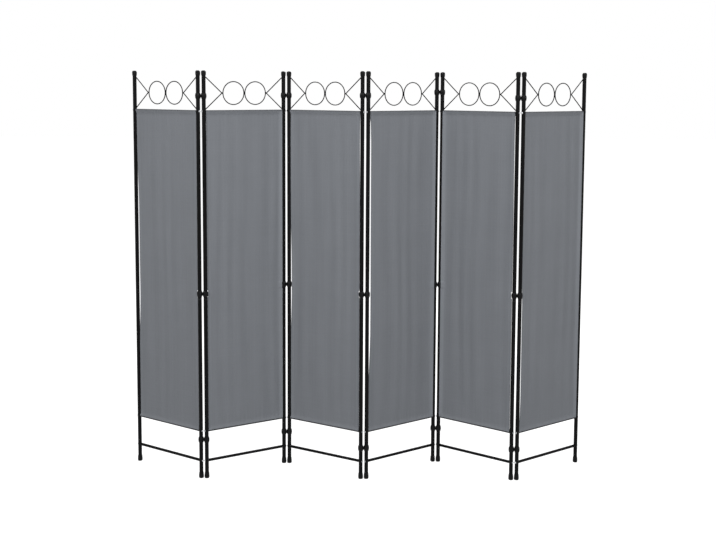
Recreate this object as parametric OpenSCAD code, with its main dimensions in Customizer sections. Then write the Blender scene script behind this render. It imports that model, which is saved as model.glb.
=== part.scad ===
// Folding screen of six panels. A panel is a frame of black steel tube with a cloth stretched
// between two hem rods, and with two wire rings held between bent wire legs above the cloth.
// Plastic clips with two rings join the poles of neighbouring panels, so the screen folds both
// ways. It stands on the floor (z = 0), its length runs along X and its front faces -Y.

/* [Screen] */
// Height from the floor to the top of the caps
screen_h = 1800; // [1600:10:2200]
// Width of one panel over its two poles
panel_w = 400; // [360:5:600]
// Fold of the first panel out of the screen's length, in degrees
fold_angle_1 = 34.5; // [10:0.5:60]
// Fold of the second panel
fold_angle_2 = 30.5; // [10:0.5:60]
// Fold of the third panel
fold_angle_3 = 31; // [10:0.5:60]
// Fold of the fourth panel
fold_angle_4 = 35.5; // [10:0.5:60]
// Fold of the fifth panel
fold_angle_5 = 37; // [10:0.5:60]
// Fold of the sixth panel
fold_angle_6 = 36.5; // [10:0.5:60]

/* [Poles] */
// Outer diameter of the pole tubes
pole_od = 17.5; // [14:0.5:20]
// Wall of the pole tubes
pole_wall = 0.8; // [0.6:0.1:1.5]
// Height of the seam between a lower and an upper tube
seam_h = 805; // [600:1:1000]
// Length of the lower tube's reduced end inside the upper tube
spigot_l = 40; // [20:1:80]

/* [Bars and rods] */
// Outer diameter of the crossbar tube
crossbar_od = 12.5; // [11:0.5:14]
// Wall of the crossbar tube
crossbar_wall = 1; // [0.8:0.1:1.5]
// Height of the crossbar's centre
crossbar_h = 79; // [60:1:120]
// Length of the threaded plug in each end of the crossbar
plug_l = 20; // [18:1:40]
// Diameter of the hem rods
rod_od = 8; // [7.5:0.5:10]

/* [Cloth] */
// Distance from the crossbar's centre up to the cloth's lower edge
cloth_rise = 130; // [120:1:200]
// Distance from the wire legs' lower ends down to the cloth's upper edge
cloth_drop = 4; // [3:0.5:60]
// Thickness of the cloth
cloth_t = 1; // [0.6:0.1:1.5]
// Gap between the end of a hem and the pole
hem_gap = 1; // [0.5:0.1:2]
// Gap between the sides of the cloth and the rings of the middle clips
side_gap = 0.6; // [0.5:0.1:6]
// Depth of the cloth's soft folds, from crest to mid-plane
fold_depth = 1; // [0.5:0.1:3]
// Number of soft folds across one panel
fold_count = 5; // [2:1:8]

/* [Scrollwork] */
// Diameter of the scrollwork wire
wire_d = 4.5; // [3.5:0.1:6]
// Outer diameter of the two wire rings
ring_od = 104; // [80:1:120]
// Distance from the lower end of a cap down to the upper ends of the wire legs
leg_drop = 6; // [6:0.5:40]
// Rise of a wire leg from the rings' centres to its end on the pole
leg_rise = 69; // [62:1:90]

/* [Hinge clips] */
// Gap between the two poles that a clip holds
pole_gap = 7.5; // [7:0.1:15]
// Gap between the rings of neighbouring clips when the screen is folded flat
ring_gap = 0.4; // [0.3:0.1:1]
// Wall of a clip's ring at its two ends
clip_wall = 1.4; // [1:0.1:3]
// Height of a clip
clip_l = 24; // [16:1:30]
// Height of the lowest clips above the crossbar's centre
low_clip_rise = 65; // [60:1:72]
// Height of the middle clips above the tube seam
mid_clip_rise = 24; // [0:1:60]
// Distance from the rings' centres down to the uppermost clips
top_clip_sink = 12; // [0:1:20]

/* [Caps and feet] */
// Thickest wall of an end cap, round its tube
cap_wall = 1.95; // [1.8:0.05:3.5]
// Height of the end caps
cap_l = 22; // [16:1:30]
// Thickness of a cap over the end of its tube
cap_top_t = 3; // [2:0.5:5]
// Thickest wall of a foot, round its tube
foot_wall = 2.2; // [1.8:0.05:3.6]
// Height of the feet
foot_l = 25; // [20:1:35]
// Thickness of a foot under the end of its tube
foot_base_t = 4; // [3:0.5:8]

/* [Screws] */
// Diameter of the machine screws
screw_d = 5; // [4:0.5:5.5]
// Length of a screw under its head
screw_l = 32; // [28:1:34]
// Diameter of a screw's head
screw_head_d = 9.5; // [8:0.5:10]
// Height of a screw's head
screw_head_h = 2.8; // [2.2:0.1:3]

/* [Hidden] */
$fn = 64;

// Radial clearance of a pole that turns in a clip's ring
turn_gap = 0.1;
// Clearance of pieces that are pressed, screwed or seated together
snug_gap = 0.05;
// Gap between a welded or bolted end and the pole that it is seated on
seat_gap = 0.1;
// Radial clearance of a screw in a pole, and of a rod in its hem
hole_gap = 0.25;
// Height of the cone that ends the full diameter of a lower tube
shoulder_l = 1.2;
// Wall of a cap or foot at its open end
rim_wall = 1;
// Height of a foot's widest part, and depth of a cap's below its top
foot_belly = 6;
cap_belly = 7;
// How far a foot's base and a cap's top lie inside their widest part
foot_undercut = 1.5;
cap_undercut = 4.7;
// Thickness and height of the web between a clip's two rings
web_t = 11;
web_l = 13;
// Rim of a screw's head, and the cross in it
head_rim = 0.9;
recess_w = 1.3;
recess_l = 5.4;
recess_depth = 1.6;
// Depth of a rod's threaded hole past the end of its screw
thread_spare = 2;
// Points across the cloth
cloth_steps = 48;
// How far the soft folds are shifted from one panel to the next, in degrees of a fold
fold_shift = 75;
// Facets round the wire, and along a bulge's arc
wire_sides = 24;
bulge_steps = 5;
// How far a cut runs past the piece that it is made in
cut_over = 1;
// The clips hold by their grip alone, so each has slipped a little from its row's height
low_slip = [30, 4, -5, 14, -6];
mid_slip = [-1, 8, 0, 4, -1];
top_slip = [0, 2, 5, 19, -3];

folds = [fold_angle_1, fold_angle_2, fold_angle_3, fold_angle_4, fold_angle_5, fold_angle_6];
panels = [for (k = [1 : len(folds)]) k];
junctions = [for (j = [1 : len(folds) - 1]) j];

pole_r = pole_od / 2;
bore_r = pole_r - pole_wall;
seat_r = pole_r + seat_gap;
pole_span = panel_w - pole_od;
clip_pitch = pole_od + pole_gap;
clip_r = (clip_pitch - ring_gap) / 2;
cap_r = pole_r + snug_gap + cap_wall;
foot_r = pole_r + snug_gap + foot_wall;
screw_r = screw_d / 2;

leg_top_h = screen_h - cap_l - leg_drop;
ring_h = leg_top_h - leg_rise;
cloth_top_h = ring_h - leg_rise - cloth_drop;
cloth_bottom_h = crossbar_h + cloth_rise;
hem_bore_r = rod_od / 2 + hole_gap;
hem_r = hem_bore_r + cloth_t;
rod_heights = [cloth_bottom_h + hem_r, cloth_top_h - hem_r];
screw_heights = [crossbar_h, rod_heights[0], rod_heights[1]];

function clip_heights(j) = [
    crossbar_h + low_clip_rise + low_slip[j - 1],
    seam_h + mid_clip_rise + mid_slip[j - 1],
    ring_h - top_clip_sink + top_slip[j - 1]
];

// Plan of the screen. Odd panels run forward and even panels run back, and a clip lies midway
// between the headings of its two panels.
function heading(k) = (k % 2 == 1 ? -1 : 1) * folds[k - 1];
function clip_heading(j) = (heading(j) + heading(j + 1)) / 2;
function along(length, angle) = length * [cos(angle), sin(angle)];
function left_axis(k) =
    k == 1 ? [0, 0] : right_axis(k - 1) + along(clip_pitch, clip_heading(k - 1));
function right_axis(k) = left_axis(k) + along(pole_span, heading(k));

// The middle of the plan, with the ring or foot round each pole
pole_axes = [for (k = panels) each [left_axis(k), right_axis(k)]];
last_pole = len(pole_axes) - 1;
function girth(i) =
    i == 0 || i == last_pole ? max(foot_r, cap_r) : max(foot_r, cap_r, clip_r);
function low_side(c) = min([for (i = [0 : last_pole]) pole_axes[i][c] - girth(i)]);
function high_side(c) = max([for (i = [0 : last_pole]) pole_axes[i][c] + girth(i)]);
centre = [low_side(0) + high_side(0), low_side(1) + high_side(1)] / 2;

PIECES = ["left_pole", "right_pole", "crossbar", "hem_rods", "cloth", "scroll", "caps",
    "feet", "fixings"];

// A piece of panel k, drawn with the left pole's axis at the origin and the panel along X
module in_panel(k) {
    translate(left_axis(k) - centre) rotate(heading(k)) children();
}

// A piece of the left pole, and the same piece mirrored at the right pole
module on_both_poles() {
    children();
    translate([pole_span, 0]) mirror([1, 0]) children();
}

// Pieces between the poles, with their ends coped to the round of the tubes
module coped() {
    difference() {
        children();
        on_both_poles() cylinder(r = seat_r, h = screen_h);
    }
}

module tube(outer_r, inner_r, length) {
    difference() {
        cylinder(r = outer_r, h = length);
        translate([0, 0, -cut_over]) cylinder(r = inner_r, h = length + 2 * cut_over);
    }
}

// Half outline of a turned piece whose side bulges in an arc, from its widest part to one end
module half_bulge(belly_r, belly_z, end_r, end_z) {
    rise = end_z - belly_z;
    arc_r = (rise ^ 2 + (belly_r - end_r) ^ 2) / (2 * (belly_r - end_r));
    polygon([
        [0, belly_z],
        for (i = [0 : bulge_steps]) let (turn = asin(rise / arc_r) * i / bulge_steps)
            [belly_r - arc_r * (1 - cos(turn)), belly_z + arc_r * sin(turn)],
        [0, end_z]
    ]);
}

module screw_holes(heights) {
    for (z = heights)
        translate([-pole_od, 0, z]) rotate([0, 90, 0])
            cylinder(r = screw_r + hole_gap, h = 2 * pole_od);
}

// Full diameter up to the seam, then a reduced end that goes up inside the upper tube
module lower_tube() {
    spigot_r = bore_r - snug_gap;
    foot_end = foot_base_t + snug_gap;
    difference() {
        rotate_extrude() polygon([
            [bore_r, foot_end],
            [pole_r, foot_end],
            [pole_r, seam_h - shoulder_l],
            [spigot_r, seam_h],
            [spigot_r, seam_h + spigot_l],
            [spigot_r - pole_wall, seam_h + spigot_l],
            [spigot_r - pole_wall, seam_h - pole_wall],
            [bore_r, seam_h - shoulder_l - pole_wall]
        ]);
        screw_holes([screw_heights[0], screw_heights[1]]);
    }
}

module upper_tube() {
    difference() {
        translate([0, 0, seam_h + snug_gap])
            tube(pole_r, bore_r, screen_h - cap_top_t - seam_h - 2 * snug_gap);
        screw_holes([screw_heights[2]]);
    }
}

module left_pole(k) {
    color("#1c1c1e") in_panel(k) {
        lower_tube();
        upper_tube();
    }
}

module right_pole(k) {
    color("#1c1c1e") in_panel(k) translate([pole_span, 0]) {
        lower_tube();
        upper_tube();
    }
}

module crossbar(k) {
    color("#1c1c1e") in_panel(k) coped()
        translate([0, 0, crossbar_h]) rotate([0, 90, 0])
            tube(crossbar_od / 2, crossbar_od / 2 - crossbar_wall, pole_span);
}

// Two solid rods with a threaded hole in each end
module hem_rods(k) {
    thread_end = screw_l - pole_r + thread_spare;
    color("#1c1c1e") in_panel(k) coped()
        for (z = rod_heights) difference() {
            translate([0, 0, z]) rotate([0, 90, 0]) cylinder(d = rod_od, h = pole_span);
            on_both_poles() translate([0, 0, z]) rotate([0, 90, 0])
                cylinder(r = screw_r + snug_gap, h = thread_end);
        }
}

// The cloth hangs between a sleeve round each rod. Its sides run straight from the sleeves to
// the rings of the middle clips, which press them in, and soft folds run down it.
function fold_y(u, k) = fold_depth * sin(360 * fold_count * u + fold_shift * k);

module sheet_outline() {
    height = rod_heights[1] - rod_heights[0];
    pressed_x = clip_r + side_gap;
    pressed_z = seam_h + mid_clip_rise - rod_heights[0];
    left = [[pole_r + hem_gap, 0], [pressed_x, pressed_z], [pole_r + hem_gap, height]];
    right = [for (p = left) [pole_span - p[0], p[1]]];
    polygon([each left, right[2], right[1], right[0]]);
}

module folded_sheet(k) {
    x0 = pole_r + hem_gap;
    width = pole_span - 2 * x0;
    line = [for (i = [0 : cloth_steps]) let (u = i / cloth_steps) [x0 + width * u, fold_y(u, k)]];
    linear_extrude(rod_heights[1] - rod_heights[0]) polygon([
        for (p = line) p - [0, cloth_t / 2],
        for (i = [cloth_steps : -1 : 0]) line[i] + [0, cloth_t / 2]
    ]);
}

module cloth(k) {
    depth = 2 * (fold_depth + cloth_t);
    sleeve_x = pole_r + hem_gap;
    color("#72757a") in_panel(k) difference() {
        union() {
            translate([0, 0, rod_heights[0]]) intersection() {
                folded_sheet(k);
                translate([0, depth / 2, 0]) rotate([90, 0, 0])
                    linear_extrude(depth) sheet_outline();
            }
            for (z = rod_heights) translate([sleeve_x, 0, z]) rotate([0, 90, 0])
                cylinder(r = hem_r, h = pole_span - 2 * sleeve_x);
        }
        for (z = rod_heights) translate([0, 0, z]) rotate([0, 90, 0])
            cylinder(r = hem_bore_r, h = pole_span);
    }
}

// Two wire rings side by side, and at each side a bent wire from the pole to the ring and back
module wire_ring() {
    rotate([90, 0, 0]) rotate_extrude()
        translate([(ring_od - wire_d) / 2, 0]) circle(d = wire_d, $fn = wire_sides);
}

module wire_leg() {
    bend_x = pole_span / 2 - ring_od - wire_d / 2 - 2 * seat_gap;
    run = bend_x - pole_r;
    length = norm([run, leg_rise]) * bend_x / run;
    translate([bend_x, 0, ring_h]) {
        for (rise = [-leg_rise, leg_rise])
            rotate([0, atan2(-run, rise), 0]) cylinder(d = wire_d, h = length, $fn = wire_sides);
        sphere(d = wire_d, $fn = wire_sides);
    }
}

module scroll(k) {
    color("#1c1c1e") in_panel(k) {
        for (side = [-1, 1])
            translate([pole_span / 2 + side * (ring_od + seat_gap) / 2, 0, ring_h]) wire_ring();
        coped() on_both_poles() wire_leg();
    }
}

module cap() {
    difference() {
        rotate_extrude() {
            half_bulge(cap_r, screen_h - cap_belly, cap_r - cap_undercut, screen_h);
            half_bulge(cap_r, screen_h - cap_belly, pole_r + snug_gap + rim_wall,
                screen_h - cap_l);
        }
        cylinder(r = pole_r + snug_gap, h = screen_h - cap_top_t);
    }
}

module caps(k) {
    color("#151516") in_panel(k) on_both_poles() cap();
}

module foot() {
    difference() {
        rotate_extrude() {
            half_bulge(foot_r, foot_belly, foot_r - foot_undercut, 0);
            half_bulge(foot_r, foot_belly, pole_r + snug_gap + rim_wall, foot_l);
        }
        translate([0, 0, foot_base_t]) cylinder(r = pole_r + snug_gap, h = foot_l);
    }
}

module feet(k) {
    color("#151516") in_panel(k) on_both_poles() foot();
}

// A machine screw with a domed head, its axis along X and its head outside the left pole
module screw() {
    dome = screw_head_h - head_rim;
    head_r = screw_head_d / 2;
    dome_r = (dome ^ 2 + head_r ^ 2) / (2 * dome);
    translate([-seat_r, 0, 0]) {
        rotate([0, -90, 0]) difference() {
            rotate_extrude() intersection() {
                translate([0, screw_head_h - dome_r]) circle(dome_r);
                square([head_r, screw_head_h]);
            }
            for (turn = [0, 90]) rotate(turn)
                translate([-recess_l / 2, -recess_w / 2, screw_head_h - recess_depth])
                    cube([recess_l, recess_w, recess_depth + cut_over]);
        }
        rotate([0, 90, 0]) cylinder(r = screw_r, h = screw_l);
    }
}

module plug() {
    translate([seat_r, 0, 0]) rotate([0, 90, 0])
        tube(crossbar_od / 2 - crossbar_wall - snug_gap, screw_r + snug_gap, plug_l);
}

// Six screws, and the threaded plugs that the crossbar's two screws hold in
module fixings(k) {
    color("#a8aaad") in_panel(k) on_both_poles() {
        for (z = screw_heights) translate([0, 0, z]) screw();
        translate([0, 0, crossbar_h]) plug();
    }
}

module clip() {
    translate([0, 0, -clip_l / 2]) difference() {
        union() {
            for (x = [0, clip_pitch]) translate([x, 0]) rotate_extrude() {
                half_bulge(clip_r, clip_l / 2, pole_r + turn_gap + clip_wall, 0);
                half_bulge(clip_r, clip_l / 2, pole_r + turn_gap + clip_wall, clip_l);
            }
            translate([0, -web_t / 2, (clip_l - web_l) / 2]) cube([clip_pitch, web_t, web_l]);
        }
        for (x = [0, clip_pitch]) translate([x, 0, -cut_over])
            cylinder(r = pole_r + turn_gap, h = clip_l + 2 * cut_over);
    }
}

module clips(j) {
    color("#151516") translate(right_axis(j) - centre) rotate(clip_heading(j))
        for (z = clip_heights(j)) translate([0, 0, z]) clip();
}

for (k = panels) {
    left_pole(k);
    right_pole(k);
    crossbar(k);
    hem_rods(k);
    cloth(k);
    scroll(k);
    caps(k);
    feet(k);
    fixings(k);
}
for (j = junctions) {
    clips(j);
}
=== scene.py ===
# A folding screen of six cloth panels in black steel tube, standing folded in a zigzag. Every piece
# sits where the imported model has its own, in metres, on the floor at z = 0, front towards -Y.
import math

import bpy
import numpy as np
from mathutils import Matrix, Vector


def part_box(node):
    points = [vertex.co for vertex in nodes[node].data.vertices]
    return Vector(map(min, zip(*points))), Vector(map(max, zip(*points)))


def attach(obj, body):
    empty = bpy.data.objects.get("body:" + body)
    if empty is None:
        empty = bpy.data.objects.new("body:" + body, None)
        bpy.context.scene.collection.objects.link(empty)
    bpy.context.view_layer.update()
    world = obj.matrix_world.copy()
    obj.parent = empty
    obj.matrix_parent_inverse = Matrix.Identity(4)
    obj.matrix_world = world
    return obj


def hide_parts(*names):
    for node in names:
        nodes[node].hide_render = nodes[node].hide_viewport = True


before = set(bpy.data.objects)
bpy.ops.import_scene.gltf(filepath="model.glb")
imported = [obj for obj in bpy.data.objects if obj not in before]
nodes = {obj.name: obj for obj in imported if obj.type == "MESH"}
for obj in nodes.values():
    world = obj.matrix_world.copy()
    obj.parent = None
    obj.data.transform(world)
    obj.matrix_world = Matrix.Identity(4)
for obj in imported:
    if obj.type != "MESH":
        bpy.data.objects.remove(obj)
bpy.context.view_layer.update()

panels = range(1, 7)


# Camera. It stands 4.7 m in front of the screen at eye height and looks a little down. Its lens is
# shifted, so that the poles stay nearly upright in the picture.
bpy.ops.object.camera_add(
    location=(-0.0219, -4.7069, 1.7402),
    rotation=(math.radians(84.511), math.radians(-0.282), math.radians(-0.171)))
camera = bpy.context.object
camera.name = "camera"
camera.data.lens = 53.65
camera.data.sensor_width = 36
camera.data.shift_y = -0.115
camera.data.clip_end = 200
bpy.context.scene.camera = camera
bpy.context.scene.view_settings.view_transform = "Standard"


# Floor. A plain light grey studio floor, just under the feet. The camera and glossy metal see it
# white, as a cut-out background, and it keeps the soft shadows under the feet.
floor_drop = 0.0004      # so that it doesn't flicker in the feet's undersides


def linear(hex_colour):
    """An sRGB hex value as a linear colour."""
    channels = [int(hex_colour[i:i + 2], 16) / 255 for i in (1, 3, 5)]
    return [c / 12.92 if c < 0.04045 else ((c + 0.055) / 1.055) ** 2.4 for c in channels] + [1]


def add_node(tree, kind, inputs=None, **settings):
    """A node with its own settings. Each input is a value, or an output of another node."""
    made = tree.nodes.new(kind)
    for name, value in settings.items():
        setattr(made, name, value)
    for name, value in (inputs or {}).items():
        if isinstance(value, bpy.types.NodeSocket):
            tree.links.new(value, made.inputs[name])
        else:
            made.inputs[name].default_value = value
    return made


def start_material(name):
    """A new material, with its tree of nodes and its shader."""
    made = bpy.data.materials.new(name)
    made.use_nodes = True
    return made, made.node_tree, made.node_tree.nodes["Principled BSDF"]


def seen_directly(tree):
    """1 where the camera or a glossy surface sees it, and 0 where it only sheds light."""
    path = add_node(tree, "ShaderNodeLightPath")
    return add_node(tree, "ShaderNodeMath", {0: path.outputs["Is Camera Ray"],
        1: path.outputs["Is Glossy Ray"]}, operation="MAXIMUM").outputs[0]


bpy.ops.object.select_all(action="DESELECT")
bpy.ops.mesh.primitive_plane_add(size=60, location=(0, 0, -floor_drop))
floor = bpy.context.object
floor.name = "floor"
bpy.ops.object.transform_apply()
# matt paint, with a grain of 25 mm that is hardly seen
paint, tree, surface = start_material("painted_studio_floor")
glow = add_node(tree, "ShaderNodeMath", {0: seen_directly(tree), 1: 0.9}, operation="MULTIPLY")
grain = add_node(tree, "ShaderNodeTexNoise", {"Vector":
    add_node(tree, "ShaderNodeTexCoord").outputs["Object"], "Scale": 40, "Detail": 3})
shade = add_node(tree, "ShaderNodeMix", {"Factor": grain.outputs["Fac"],
    "A": linear("#939393"), "B": linear("#979797")}, data_type="RGBA")
tree.links.new(shade.outputs["Result"], surface.inputs["Base Color"])
tree.links.new(glow.outputs[0], surface.inputs["Emission Strength"])
surface.inputs["Emission Color"].default_value = (1, 1, 1, 1)
surface.inputs["Roughness"].default_value = 0.9
surface.inputs["Specular IOR Level"].default_value = 0.1
floor.data.materials.append(paint)


# Light. It comes from the pale room all round, from two large soft lamps high in front, which leave
# the cloth a little darker towards the floor, and from one behind for the back. The camera sees the
# room white, and so does glossy metal.
world = bpy.data.worlds.new("white_studio")
bpy.context.scene.world = world
world.use_nodes = True
tree = world.node_tree
strength = add_node(tree, "ShaderNodeMapRange", {"Value": seen_directly(tree), "To Min": 0.5,
    "To Max": 1.0})
background = tree.nodes["Background"]
background.inputs["Color"].default_value = (1, 1, 1, 1)
tree.links.new(strength.outputs["Result"], background.inputs["Strength"])

lamp_aim = Vector((0, 0, 1.3))
for name, place, size, power in (
        ("left_lamp", (-2.1, -3.4, 3.3), 2.2, 102), ("right_lamp", (2.4, -3.4, 3.2), 2.2, 89),
        ("back_lamp", (0.3, 4.0, 3.3), 2.6, 170)):
    bpy.ops.object.light_add(type="AREA", location=place)
    lamp = bpy.context.object
    lamp.name = name
    lamp.data.size = size
    lamp.data.energy = power
    lamp.visible_camera = False
    lamp.rotation_euler = (lamp_aim - Vector(place)).to_track_quat("-Z", "Y").to_euler()


# Poles, crossbars and hem rods. Steel tube of 17.5 and 12.5 mm, and 8 mm rod, powder coated black:
# a thick satin skin with a fine orange peel, rubbed thin where tube meets tube.
tube_seam = 0.805
worn_reach = 0.003       # above and below the seam


def powder_coat(name, peel_mm, rough_low, rough_high):
    """Black powder coat, with an orange peel of the given size."""
    made, tree, surface = start_material(name)
    place = add_node(tree, "ShaderNodeTexCoord").outputs["Object"]
    # orange peel, the 90 mm patches of gloss that handling leaves, and dust in 4 mm specks
    peel = add_node(tree, "ShaderNodeTexNoise",
        {"Vector": place, "Scale": 1000 / peel_mm, "Detail": 2, "Roughness": 0.4})
    handling = add_node(tree, "ShaderNodeTexNoise", {"Vector": place, "Scale": 11, "Detail": 3})
    dust = add_node(tree, "ShaderNodeTexNoise", {"Vector": place, "Scale": 240, "Detail": 4})
    colour = add_node(tree, "ShaderNodeMix", {"Factor": dust.outputs["Fac"],
        "A": linear("#040405"), "B": linear("#0b0b0c")}, data_type="RGBA")
    gloss = add_node(tree, "ShaderNodeMapRange", {"Value": handling.outputs["Fac"],
        "From Min": 0.3, "From Max": 0.7, "To Min": rough_low, "To Max": rough_high})
    bump = add_node(tree, "ShaderNodeBump", {"Height": peel.outputs["Fac"], "Strength": 0.35,
        "Distance": 0.00006})
    tree.links.new(colour.outputs["Result"], surface.inputs["Base Color"])
    tree.links.new(gloss.outputs["Result"], surface.inputs["Roughness"])
    tree.links.new(bump.outputs["Normal"], surface.inputs["Normal"])
    surface.inputs["Specular IOR Level"].default_value = 0.07
    return made


def dress(name, finish):
    """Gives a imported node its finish."""
    for holder in nodes[name].material_slots:
        holder.material = finish


# the coat is rubbed a shade paler in a narrow ring at the seam of the two tubes
tube_coat = powder_coat("powder_coated_steel_tube", 1.6, 0.3, 0.42)
tree = tube_coat.node_tree
height = add_node(tree, "ShaderNodeSeparateXYZ",
    {"Vector": add_node(tree, "ShaderNodeTexCoord").outputs["Object"]})
from_seam = add_node(tree, "ShaderNodeMath", {0: height.outputs["Z"], 1: tube_seam},
    operation="SUBTRACT")
from_seam = add_node(tree, "ShaderNodeMath", {0: from_seam.outputs[0]}, operation="ABSOLUTE")
ring = add_node(tree, "ShaderNodeMapRange", {"Value": from_seam.outputs[0],
    "From Max": worn_reach, "To Min": 0.6, "To Max": 0.0})
scratches = add_node(tree, "ShaderNodeTexNoise", {"Scale": 900, "Detail": 2, "Vector":
    add_node(tree, "ShaderNodeTexCoord").outputs["Object"]})
rubbed = add_node(tree, "ShaderNodeMath", {0: ring.outputs["Result"], 1: scratches.outputs["Fac"]},
    operation="MULTIPLY")
surface = tree.nodes["Principled BSDF"]
whole_coat = surface.inputs["Base Color"].links[0].from_socket
worn = add_node(tree, "ShaderNodeMix", {"Factor": rubbed.outputs[0], "A": whole_coat,
    "B": linear("#4a4a4c")}, data_type="RGBA")
tree.links.new(worn.outputs["Result"], surface.inputs["Base Color"])

bar_coat = powder_coat("powder_coated_steel_bar", 1.2, 0.32, 0.45)
for k in panels:
    for piece in ("left_pole", "right_pole"):
        dress(f"panel_{k}_{piece}", tube_coat)
    for piece in ("crossbar", "hem_rods"):
        dress(f"panel_{k}_{piece}", bar_coat)


# Screws. M5 machine screws with domed cross heads, steel with bright zinc plate, which tumbling in
# the plating barrel has left finely scuffed. The threaded plugs in the crossbars are the same.
zinc, tree, surface = start_material("zinc_plated_steel")
place = add_node(tree, "ShaderNodeTexCoord").outputs["Object"]
# scuffs of 0.7 mm, and stains of 4 mm in the plate
scuffs = add_node(tree, "ShaderNodeTexNoise", {"Vector": place, "Scale": 1500, "Detail": 3})
stain = add_node(tree, "ShaderNodeTexNoise", {"Vector": place, "Scale": 260, "Detail": 2})
colour = add_node(tree, "ShaderNodeMix", {"Factor": stain.outputs["Fac"],
    "A": linear("#b4b6ba"), "B": linear("#cdced0")}, data_type="RGBA")
gloss = add_node(tree, "ShaderNodeMapRange", {"Value": scuffs.outputs["Fac"],
    "From Min": 0.3, "From Max": 0.7, "To Min": 0.22, "To Max": 0.4})
bump = add_node(tree, "ShaderNodeBump", {"Height": scuffs.outputs["Fac"], "Strength": 0.2,
    "Distance": 0.00003})
tree.links.new(colour.outputs["Result"], surface.inputs["Base Color"])
tree.links.new(gloss.outputs["Result"], surface.inputs["Roughness"])
tree.links.new(bump.outputs["Normal"], surface.inputs["Normal"])
surface.inputs["Metallic"].default_value = 1.0
for k in panels:
    dress(f"panel_{k}_fixings", zinc)


# Cloth. Each panel is one length of grey polyester, 405 mm wide and 1.48 m long as cut. Its sides
# are hemmed, and its ends are turned back round the rods and stitched, which makes the pockets. It
# is pulled tight between the rods, so its sides draw in and soft folds run down it.
def panel_place(k):
    """Panel k's own frame: X from its left pole's axis to its right one's, and Y to the back."""
    ends = [sum(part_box(f"panel_{k}_{side}_pole"), Vector()) / 2 for side in ("left", "right")]
    along = (ends[1] - ends[0]).normalized()
    turned = Matrix((along, Vector((-along.y, along.x, 0)), Vector((0, 0, 1)))).transposed()
    return Matrix.Translation((ends[0].x, ends[0].y, 0)) @ turned.to_4x4()


pole_span = 0.3825       # from one pole's axis to the other's
half_span = pole_span / 2
pole_r = 0.00875
rod_low = 0.21425
rod_high = 1.62475
pocket_r = 0.0047        # from the rod's axis to the middle of the cloth round it
seam_drop = 0.0145       # from the rod's axis to the row of stitches that closes the pocket
seam_tail = 0.004        # raw edge past the stitches, on the back
tail_back = 0.0006       # how far behind the sheet the raw edge lies
cloth_t = 0.0005
hem_w = 0.0172           # the turned side of the cloth
clip_r = 0.0123
clip_l = 0.024
clip_z = {1: 0.828, 2: 0.837, 3: 0.829, 4: 0.833, 5: 0.828}     # the middle clip of each junction
clip_clear = 0.0009      # from a clip's ring to the cloth's edge
lap_clear = 0.0005       # and this much more where the edge laps the pole
press_past = 0.0005      # how far past the ring's ends the edge stays pressed
press_ease = 0.004       # over which it comes back from there
butted_r = 0.0094        # from the pole's axis to an edge that ends beside the pole
lapped_r = 0.0102        # and to one that laps it
clear_r = 0.00935        # no cloth comes nearer to the pole's axis than this
lap_reach = 0.026        # how far in from its edge a cloth comes forward to lap a pole
slack_ease = 0.3         # over which a slack edge draws in and comes back
slack_gone = 0.01        # how far past a pocket's seam it is back in its place
slack_whole = 0.05       # and how far from there it is wholly slack
pocket_close = 0.0095    # over which the pocket closes on the sheet
fold_count = 5
fold_from = 0.00975      # where the folds begin, from the left pole's axis
fold_span = 0.363        # and the width that they share
fold_depth = 0.001       # from a fold's crest to the mid-plane
sway_depth = 0.0007
pucker_depth = 0.00045
# How each cloth lies at its left and right pole: how far its slack edge is drawn in, in mm, between
# which heights, and how far it laps round the pole's front, in degrees.
edges = {
    1: ((8.2, 0.52, 1.48, 0), (0, 0, 1, 10)),
    2: ((1.0, 1.30, 1.90, 0), (0, 0, 1, 28)),
    3: ((4.8, 0.54, 1.20, 0), (1.8, 1.25, 1.75, 6)),
    4: ((8.4, 0.36, 1.75, 0), (0, 0, 1, 38)),
    5: ((0, 0, 1, 46), (1.3, 1.10, 1.80, 12)),
    6: ((7.5, 0.10, 1.05, 0), (0, 0, 1, 36))}


def smooth(t):
    """Rises from 0 to 1 with level ends."""
    t = np.clip(t, 0, 1)
    return t * t * (3 - 2 * t)


def edge_r(k, side):
    """From the pole's axis to the cloth's edge, which stands off where its hem laps the pole."""
    return lapped_r if edges[k][side][3] else butted_r


def fold_y(x, z, k):
    """The folds: five soft ones down the panel, a slow sway, and fine puckers at the seams."""
    clear = np.clip(np.minimum(z - rod_low, rod_high - z) - seam_drop, 0, 1)
    # no two folds are alike: they are unevenly spaced, lean, and swell and fade down the length
    turn = 2 * np.pi * fold_count * (x - fold_from) / fold_span + np.radians(75 * k)
    turn = turn + 1.3 * np.sin(2 * np.pi * x / 0.26 + 1.9 * k) + 0.6 * np.sin(5 * z + 2 * k)
    swell = 1 + 0.35 * np.sin(2 * np.pi * (z / 0.87 + x / 0.31) + 2.6 * k)
    main = fold_depth * swell * np.sin(turn)
    sway = sway_depth * np.sin(2 * np.pi * (x / 0.17 + z / 1.9) + 1.7 * k)
    pucker = np.sin(2 * np.pi * x / 0.0153 + 2.1 * np.sin(2 * np.pi * x / 0.083 + k))
    # near the rods the folds flatten and the puckers take over
    return main * (0.3 + 0.7 * np.clip(clear / 0.16, 0, 1) ** 0.7) \
        + sway * np.clip(clear / 0.3, 0, 1) + pucker_depth * pucker * np.exp(-clear / 0.028)


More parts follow.
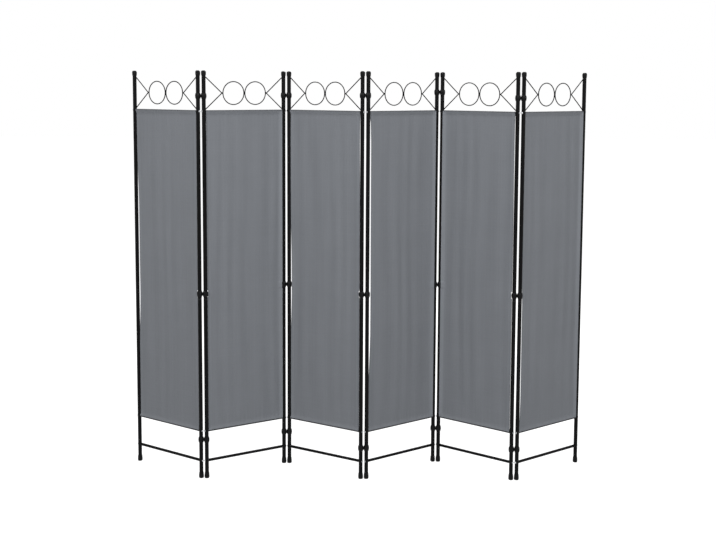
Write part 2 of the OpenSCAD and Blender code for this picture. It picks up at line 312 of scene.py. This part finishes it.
def lie(c, z, k, side):
    """Where the cloth lies at c from its edge: from the pole's axis inwards, and to the back."""
    drawn, low_end, high_end, lap = edges[k][side]
    angle = math.radians(lap)
    clear = np.minimum(z - rod_low, rod_high - z) - seam_drop
    slack = smooth((z - low_end) / slack_ease) * smooth((high_end - z) / slack_ease)
    radius = edge_r(k, side) + drawn / 1000 * slack * smooth((clear + slack_gone) / slack_whole)
    # a middle clip's ring presses the edge inwards
    joint = k - 1 + side
    if joint in clip_z:
        past_ring = np.abs(z - clip_z[joint]) - clip_l / 2 - press_past
        pressed = 1 - smooth(past_ring / press_ease)
        ring_r = clip_r + clip_clear + lap_clear * (lap > 0)
        radius = radius + np.maximum(ring_r - radius, 0) * pressed
    edge_x = radius * math.cos(angle)
    x = edge_x + (half_span - edge_x) * c / half_span
    forward = np.clip(1 - c / lap_reach, 0, 1) ** 2
    x_true = x if side == 0 else pole_span - x
    y = fold_y(x_true, z, k) * (1 - forward * (lap > 0)) - radius * math.sin(angle) * forward
    return x, y


# columns of points across the cloth, closer together near its edges, and 4.4 mm apart between
edge_columns = np.array([0, 0.9, 1.8, 2.8, 3.8, 5, 6.5, 8.5, 11, 14, 18]) / 1000
inner_start = 0.0222
columns = np.concatenate([edge_columns, np.linspace(inner_start, pole_span - inner_start, 78),
    pole_span - edge_columns[::-1]])
from_edge = np.minimum(columns, pole_span - columns)
on_left = columns < half_span


def pocket(steps, downward):
    """Points (y, z from the rod) from the raw end on the back, round the rod, to the front seam."""
    tangent = math.acos(pocket_r / seam_drop)
    turn = np.linspace(tangent, 2 * np.pi - tangent, steps)
    round_rod = np.stack([pocket_r * np.sin(turn), -pocket_r * np.cos(turn)], 1)
    flank = np.linspace(0.06, 0.94, 5)[:, None]
    back = np.array([tail_back, -seam_drop]) * (1 - flank) + round_rod[0] * flank
    front = round_rod[-1] * (1 - flank) + np.array([0, -seam_drop]) * flank
    tail = [[tail_back, -seam_drop - seam_tail], [tail_back, -seam_drop]]
    points = np.concatenate([tail, back, round_rod, front])
    return points if downward else points[::-1] * [1, -1]


# rows of points down the cloth, from one raw end to the other: 12 mm apart, and 3 mm apart beside
# the middle clips
top = pocket(19, True) + [0, rod_high]
low = pocket(19, False) + [0, rod_low]
main_z = np.concatenate([np.linspace(rod_high - seam_drop, 0.9, 62),
    np.linspace(0.896, 0.772, 42), np.linspace(0.762, rod_low + seam_drop, 46)])
profile = np.concatenate([top, np.stack([0 * main_z, main_z], 1), low])
length = np.concatenate([[0], np.cumsum(np.linalg.norm(np.diff(profile, axis=0), axis=1))])


def wrap(c, k, side):
    """The whole profile of one half of a cloth, at c from its edge: both pockets and the sheet."""
    y0, z = profile[:, :1], profile[:, 1:]
    seam_z = np.clip(z, rod_low + seam_drop, rod_high - seam_drop)
    sheet_x, sheet_y = lie(c, seam_z, k, side)
    # the pocket's front and back lap the pole as far as the sheet does, and its top stops short
    reach = edge_r(k, side)
    lap = edges[k][side][3]
    # heights are taken from the nearer rod
    from_rod = np.where(z > 1, rod_high - z, z - rod_low)
    front = (y0 < 0) * smooth(from_rod / pocket_r + 0.3)
    lapped = np.maximum(smooth((np.abs(y0) / pocket_r - 0.72) / 0.25), front) * (lap > 0)
    butted = np.sqrt(np.maximum(reach ** 2 - y0 ** 2, 0))
    start = butted + (reach * math.cos(math.radians(lap)) - butted) * lapped
    x = start + (half_span - start) * c / half_span
    # past the pole's side it bends round the pole
    beside = (np.abs(y0) > 0.5 * pocket_r) | (front > 0.5)
    bent = np.sqrt(np.maximum(reach ** 2 - x ** 2, 0)) * beside
    y = np.sign(y0) * ((np.abs(y0) + 0 * x) ** 6 + bent ** 6) ** (1 / 6)
    # from the rod to the seam the pocket closes on the sheet
    closed = smooth((from_rod - pocket_r) / pocket_close)
    x = x + (sheet_x - x) * closed
    y = y + (sheet_y + y0 - y) * closed
    # nothing cuts into the pole
    out = np.maximum(clear_r / np.maximum(np.hypot(x, y), 0.001), 1)
    return x * out, y * out


def place_sheet(piece, points, across, down, k):
    """Puts a grid's points in panel k, and lays its UV out in metres along the cloth."""
    place = panel_place(k)
    placed = points.reshape(-1, 3) @ np.array(place.to_3x3()).T + np.array(place.translation)
    piece.data.vertices.foreach_set("co", placed.astype(np.float32).ravel())
    corner = np.zeros(len(piece.data.loops), np.int32)
    piece.data.loops.foreach_get("vertex_index", corner)
    flat = np.stack([np.tile(across, len(down)), np.repeat(down, len(across))], 1)
    piece.data.uv_layers[0].data.foreach_set("uv", flat[corner].astype(np.float32).ravel())
    piece.data.update()


def thicken(piece, thickness):
    """Gives a sheet its thickness, half to each side."""
    modifier = piece.modifiers.new("thickness", "SOLIDIFY")
    modifier.thickness = thickness
    modifier.offset = 0
    bpy.ops.object.modifier_apply(modifier=modifier.name)
    bpy.ops.object.shade_smooth()


# plain-woven polyester: the threads are 0.25 mm apart, and are drawn 1.1 mm apart so that they
# show close up. Slubs make faint streaks. The doubled sides look paler than the single cloth, and
# the black rods show through it as dark lines at its ends; the lower line is also painted shade,
# of the pocket's underside.
weave_mm = 1.1
bands = 314.16 / weave_mm
weave, tree, surface = start_material("woven_grey_polyester")
place = add_node(tree, "ShaderNodeTexCoord")
warp = add_node(tree, "ShaderNodeTexWave", {"Vector": place.outputs["UV"], "Scale": bands,
    "Distortion": 0.6, "Detail": 1}, bands_direction="X")
weft = add_node(tree, "ShaderNodeTexWave", {"Vector": place.outputs["UV"], "Scale": bands,
    "Distortion": 0.6, "Detail": 1}, bands_direction="Y")
threads = add_node(tree, "ShaderNodeMath", {0: warp.outputs["Fac"], 1: weft.outputs["Fac"]},
    operation="SUBTRACT")
threads = add_node(tree, "ShaderNodeMath", {0: threads.outputs[0]}, operation="ABSOLUTE")
# slubs are 7 mm wide and 0.6 m long, picks 3 mm high, and a soft cloudiness 140 mm across
long_way = add_node(tree, "ShaderNodeMapping", {"Vector": place.outputs["UV"],
    "Scale": (150, 1.6, 1)})
slubs = add_node(tree, "ShaderNodeTexNoise", {"Vector": long_way.outputs[0], "Scale": 1,
    "Detail": 4, "Roughness": 0.65})
cross_way = add_node(tree, "ShaderNodeMapping", {"Vector": place.outputs["UV"],
    "Scale": (5, 320, 1)})
picks = add_node(tree, "ShaderNodeTexNoise", {"Vector": cross_way.outputs[0], "Scale": 1,
    "Detail": 3})
cloud = add_node(tree, "ShaderNodeTexNoise", {"Vector": place.outputs["Object"], "Scale": 7,
    "Detail": 2})
streaks = add_node(tree, "ShaderNodeMix", {"Factor": 0.35, "A": slubs.outputs["Fac"],
    "B": picks.outputs["Fac"]}, data_type="FLOAT")
streaks = add_node(tree, "ShaderNodeMix", {"Factor": 0.25, "A": streaks.outputs["Result"],
    "B": cloud.outputs["Fac"]}, data_type="FLOAT")
spread = add_node(tree, "ShaderNodeMapRange", {"Value": streaks.outputs["Result"],
    "From Min": 0.3, "From Max": 0.7})
colour = add_node(tree, "ShaderNodeMix", {"Factor": spread.outputs["Result"],
    "A": linear("#74777c"), "B": linear("#7d8085")}, data_type="RGBA")
thread_shade = add_node(tree, "ShaderNodeMapRange", {"Value": threads.outputs[0],
    "To Min": 0.93, "To Max": 1.05})
colour = add_node(tree, "ShaderNodeMix", {"Factor": 1, "A": colour.outputs["Result"],
    "B": thread_shade.outputs["Result"]}, data_type="RGBA", blend_type="MULTIPLY")
shade_blend = 0.0004     # half the width in which the paler shade of a doubled side begins
across = add_node(tree, "ShaderNodeSeparateXYZ", {"Vector": place.outputs["UV"]})
from_middle = add_node(tree, "ShaderNodeMath", {0: across.outputs["X"], 1: half_span},
    operation="SUBTRACT")
from_middle = add_node(tree, "ShaderNodeMath", {0: from_middle.outputs[0]}, operation="ABSOLUTE")
doubled = add_node(tree, "ShaderNodeMapRange", {"Value": from_middle.outputs[0],
    "From Min": half_span - hem_w - shade_blend, "From Max": half_span - hem_w + shade_blend,
    "To Min": 1.0, "To Max": 1.09})
colour = add_node(tree, "ShaderNodeMix", {"Factor": 1, "A": colour.outputs["Result"],
    "B": doubled.outputs["Result"]}, data_type="RGBA", blend_type="MULTIPLY")
# the lower rod shows up to 3.2 mm above its axis, a band that is also painted shade of the pocket's
# underside, and the upper one faintly from 1 mm below its own
height = add_node(tree, "ShaderNodeSeparateXYZ", {"Vector": place.outputs["Object"]})
low_rod_and_painted_shade = add_node(tree, "ShaderNodeMapRange", {"Value": height.outputs["Z"],
    "From Min": rod_low + 0.0008, "From Max": rod_low + 0.0032, "To Min": 0.9, "To Max": 0.0},
    interpolation_type="SMOOTHSTEP")
high_rod = add_node(tree, "ShaderNodeMapRange", {"Value": height.outputs["Z"],
    "From Min": rod_high - 0.001, "From Max": rod_high + 0.0007, "To Min": 0.0, "To Max": 0.5},
    interpolation_type="SMOOTHSTEP")
rods_and_painted_shade = add_node(tree, "ShaderNodeMath", {0: low_rod_and_painted_shade.outputs["Result"],
    1: high_rod.outputs["Result"]}, operation="MAXIMUM")
# near-black where the rods show through the cloth, and painted shade on the lower pocket's underside
colour = add_node(tree, "ShaderNodeMix", {"Factor": rods_and_painted_shade.outputs[0],
    "A": colour.outputs["Result"], "B": linear("#17181a")}, data_type="RGBA")
bump = add_node(tree, "ShaderNodeBump", {"Height": threads.outputs[0], "Strength": 0.3,
    "Distance": 0.0001})
tree.links.new(colour.outputs["Result"], surface.inputs["Base Color"])
tree.links.new(bump.outputs["Normal"], surface.inputs["Normal"])
surface.inputs["Roughness"].default_value = 0.85
surface.inputs["Specular IOR Level"].default_value = 0.12
surface.inputs["Sheen Weight"].default_value = 0.12
surface.inputs["Sheen Roughness"].default_value = 0.5

for k in panels:
    bpy.ops.object.select_all(action="DESELECT")
    bpy.ops.mesh.primitive_grid_add(x_subdivisions=len(columns) - 1,
        y_subdivisions=len(profile) - 1, size=1)
    cloth = bpy.context.object
    cloth.name = f"panel_{k}_cloth_sheet"
    halves = [wrap(from_edge[None, :], k, side) for side in (0, 1)]
    x = np.where(on_left, halves[0][0], pole_span - halves[1][0])
    y = np.where(on_left, halves[0][1], halves[1][1])
    z = profile[:, 1:]
    place_sheet(cloth, np.stack([x, y, z + 0 * x], 2), columns, length, k)
    thicken(cloth, cloth_t)
    cloth.data.materials.append(weave)
    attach(cloth, f"panel_{k}")
    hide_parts(f"panel_{k}_cloth")


# Side hems of the cloth. The woven edge is turned 18 mm to the back and stitched down, so a
# doubled strip runs down each side between the pockets.
strip_t = 0.00045
# points across the strip, from its inner edge round to the fold, and how far each lies behind
strip_across = np.array([hem_w, 0.011, 0.006, 0.0025, 0.0008, 0.0, -0.0002, 0.0])
strip_back = np.array([0.00062, 0.00062, 0.00062, 0.00062, 0.0006, 0.00045, 0.00025, 0.0])


def join(pieces, name):
    """One piece out of several, with its place in its mesh."""
    bpy.ops.object.select_all(action="DESELECT")
    for piece in pieces:
        piece.select_set(True)
    bpy.context.view_layer.objects.active = pieces[0]
    bpy.ops.object.transform_apply()
    bpy.ops.object.join()
    pieces[0].name = name
    return pieces[0]


for k in panels:
    strips = []
    for side in (0, 1):
        bpy.ops.object.select_all(action="DESELECT")
        bpy.ops.mesh.primitive_grid_add(x_subdivisions=len(strip_across) - 1,
            y_subdivisions=len(main_z) - 1, size=1)
        strip = bpy.context.object
        z = main_z[:, None]
        x, y = lie(strip_across[None, :], z, k, side)
        x = x if side == 0 else pole_span - x
        points = np.stack([x, y + strip_back, z + 0 * x], 2)
        place_sheet(strip, points, strip_across, main_z, k)
        thicken(strip, strip_t)
        strips.append(strip)
    hems = join(strips, f"panel_{k}_side_hems")
    hems.data.materials.append(weave)
    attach(hems, f"panel_{k}")


# Stitches. Lockstitch in polyester thread a shade darker than the cloth, 3.2 mm to a stitch, along
# both pocket seams and both side hems. One stitch is turned from a six-sided bar and repeated.
stitch_pitch = 0.0032
stitch_l = 0.0017        # its straight middle
stitch_end = 0.0004      # each of its tapered ends
stitch_r = 0.00034
stitch_taper = 0.45      # of that at its tips
stitch_deep = 2.3        # times as deep as wide: it goes through and shows on both faces
stitch_back = 0.00028    # from the sheet to the middle of its layers
seam_stitches = 118
side_stitches = 429
seam_inset = 0.0004      # from a pocket's end to its row, towards the middle of the cloth
first_stitch = 0.004     # from the cloth's edge
side_start = 0.0045      # from the lower pocket's end to the side rows
side_inset = 0.0018      # from a hem's inner edge to its row


def stitch_row(count, upright):
    """A row of stitches along X or Z, the first one at the origin."""
    bpy.ops.object.select_all(action="DESELECT")
    bpy.ops.mesh.primitive_cylinder_add(vertices=6, radius=stitch_r, depth=stitch_l,
        rotation=(0, 0, 0) if upright else (0, math.radians(90), 0))
    row = bpy.context.object
    bpy.ops.object.transform_apply()
    bpy.ops.object.mode_set(mode="EDIT")
    axis = 2 if upright else 0
    for way in (-1, 1):
        bpy.ops.mesh.select_all(action="DESELECT")
        bpy.ops.object.mode_set(mode="OBJECT")
        for face in row.data.polygons:
            face.select = face.normal[axis] * way > 0.9
        bpy.ops.object.mode_set(mode="EDIT")
        step = [0, 0, 0]
        step[axis] = stitch_end * way
        bpy.ops.mesh.extrude_region_move(TRANSFORM_OT_translate={"value": step})
        bpy.ops.transform.resize(value=(stitch_taper,) * 3)
    bpy.ops.mesh.select_all(action="SELECT")
    bpy.ops.mesh.normals_make_consistent(inside=False)
    bpy.ops.object.mode_set(mode="OBJECT")
    repeat = row.modifiers.new("row", "ARRAY")
    repeat.use_relative_offset = False
    repeat.use_constant_offset = True
    repeat.constant_offset_displace = (0, 0, stitch_pitch) if upright else (stitch_pitch, 0, 0)
    repeat.count = count
    bpy.ops.object.modifier_apply(modifier=repeat.name)
    return row


# twisted polyester thread, with the twist drawn as slanting bands 0.35 mm apart
thread, tree, surface = start_material("twisted_polyester_thread")
twist = add_node(tree, "ShaderNodeTexWave", {"Vector":
    add_node(tree, "ShaderNodeTexCoord").outputs["Object"], "Scale": 900, "Distortion": 1.5},
    bands_direction="DIAGONAL")
colour = add_node(tree, "ShaderNodeMix", {"Factor": twist.outputs["Fac"],
    "A": linear("#55585d"), "B": linear("#666a6f")}, data_type="RGBA")
tree.links.new(colour.outputs["Result"], surface.inputs["Base Color"])
surface.inputs["Roughness"].default_value = 0.6
surface.inputs["Sheen Weight"].default_value = 0.2

for k in panels:
    rows = []
    for seam_z in (rod_high - seam_drop - seam_inset, rod_low + seam_drop + seam_inset):
        (left_x, left_y), (right_x, right_y) = (lie(from_edge, seam_z, k, side) for side in (0, 1))
        seam_x = np.where(on_left, left_x, pole_span - right_x)
        seam_y = np.where(on_left, left_y, right_y) + stitch_back
        row = stitch_row(seam_stitches, False)
        for point in row.data.vertices:
            along = point.co.x + first_stitch
            point.co.x = np.interp(along, columns, seam_x)
            point.co.y = point.co.y * stitch_deep + np.interp(along, columns, seam_y)
            point.co.z += seam_z
        rows.append(row)
    for side in (0, 1):
        row = stitch_row(side_stitches, True)
        for point in row.data.vertices:
            point.co.z += rod_low + seam_drop + side_start
            x, y = lie(hem_w - side_inset, point.co.z, k, side)
            point.co.x += float(x if side == 0 else pole_span - x)
            point.co.y = point.co.y * stitch_deep + float(y) + stitch_back
        rows.append(row)
    stitches = join(rows, f"panel_{k}_stitches")
    stitches.data.transform(panel_place(k))
    stitches.data.materials.append(thread)
    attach(stitches, f"panel_{k}")


# Scrollwork. Two rings of 4.5 mm steel wire between bent wire legs, welded together and to the
# poles before coating. The weld beads are the pieces added here, with the coat run over them.
wire_coat = powder_coat("powder_coated_steel_wire", 1.0, 0.34, 0.46)
ring_z = 1.703
leg_rise = 0.069         # from the rings' centres to a leg's end on the pole
bend_x = 0.0848          # from the pole's axis to the leg's bend
touch_x = 0.08715        # and to where the bend meets the ring
slope = math.atan2(bend_x - pole_r, leg_rise)
weld_in = 0.0007         # how far off the pole, and down the wire, a run of weld sits
weld_r = 0.0027
weld_wire_r = 0.0013
bead_r = 0.0022
bead_out = 0.001         # from the wires' plane to a bead's middle
bead_lump = 0.00035      # how uneven the beads are


def add_bead(x, face, tall):
    """A bead of weld on the front (-1) or the back (1) of two wires that meet at x."""
    bpy.ops.object.select_all(action="DESELECT")
    bpy.ops.mesh.primitive_ico_sphere_add(subdivisions=2, radius=bead_r,
        location=(x, face * bead_out, ring_z))
    bpy.ops.object.mode_set(mode="EDIT")
    bpy.ops.transform.resize(value=(0.85, 0.9, tall))
    bpy.ops.object.mode_set(mode="OBJECT")
    return bpy.context.object


for k in panels:
    dress(f"panel_{k}_scroll", wire_coat)
    beads = []
    for side in (-1, 1):
        for way in (-1, 1):
            # a run of weld round the wire's end, on the pole
            bpy.ops.object.select_all(action="DESELECT")
            bpy.ops.mesh.primitive_torus_add(major_segments=20, minor_segments=8,
                major_radius=weld_r, minor_radius=weld_wire_r,
                location=(side * (half_span - pole_r - weld_in), 0,
                    ring_z + way * (leg_rise - weld_in)),
                rotation=(0, side * (math.pi / 2 + way * (math.pi / 2 - slope)), 0))
            beads.append(bpy.context.object)
        # on both faces of the bend, where the leg meets the ring
        beads += [add_bead(side * (half_span - touch_x), face, 1.7) for face in (-1, 1)]
    # and where the two rings meet
    beads += [add_bead(0, face, 2.2) for face in (-1, 1)]
    welds = join(beads, f"panel_{k}_weld_beads")
    # the beads are lumpy, as laid by hand
    bpy.ops.object.mode_set(mode="EDIT")
    bpy.ops.mesh.select_all(action="SELECT")
    bpy.ops.transform.vertex_random(offset=bead_lump, uniform=0.5, normal=0.5, seed=k)
    bpy.ops.mesh.subdivide(number_cuts=1, smoothness=1)
    bpy.ops.object.mode_set(mode="OBJECT")
    bpy.ops.object.shade_smooth()
    welds.data.transform(panel_place(k) @ Matrix.Translation((half_span, 0, 0)))
    welds.data.materials.append(wire_coat)
    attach(welds, f"panel_{k}")


# Hinge clips, end caps and feet. Injection-moulded black polypropylene with a finely etched surface,
# polished a little where hands and the floor have rubbed it.
moulded, tree, surface = start_material("moulded_black_polypropylene")
place = add_node(tree, "ShaderNodeTexCoord").outputs["Object"]
# an etch of 0.7 mm, and the 20 mm patches that rubbing and the flow in the mould leave
etch = add_node(tree, "ShaderNodeTexNoise", {"Vector": place, "Scale": 1400, "Detail": 3})
flow = add_node(tree, "ShaderNodeTexNoise", {"Vector": place, "Scale": 45, "Detail": 2})
colour = add_node(tree, "ShaderNodeMix", {"Factor": flow.outputs["Fac"],
    "A": linear("#060607"), "B": linear("#0e0e0f")}, data_type="RGBA")
gloss = add_node(tree, "ShaderNodeMapRange", {"Value": flow.outputs["Fac"],
    "From Min": 0.3, "From Max": 0.7, "To Min": 0.3, "To Max": 0.44})
bump = add_node(tree, "ShaderNodeBump", {"Height": etch.outputs["Fac"], "Strength": 0.25,
    "Distance": 0.00004})
tree.links.new(colour.outputs["Result"], surface.inputs["Base Color"])
tree.links.new(gloss.outputs["Result"], surface.inputs["Roughness"])
tree.links.new(bump.outputs["Normal"], surface.inputs["Normal"])
surface.inputs["Specular IOR Level"].default_value = 0.1
for name in [f"clips_{j}_{j + 1}" for j in range(1, 6)] \
        + [f"panel_{k}_{piece}" for k in panels for piece in ("caps", "feet")]:
    dress(name, moulded)
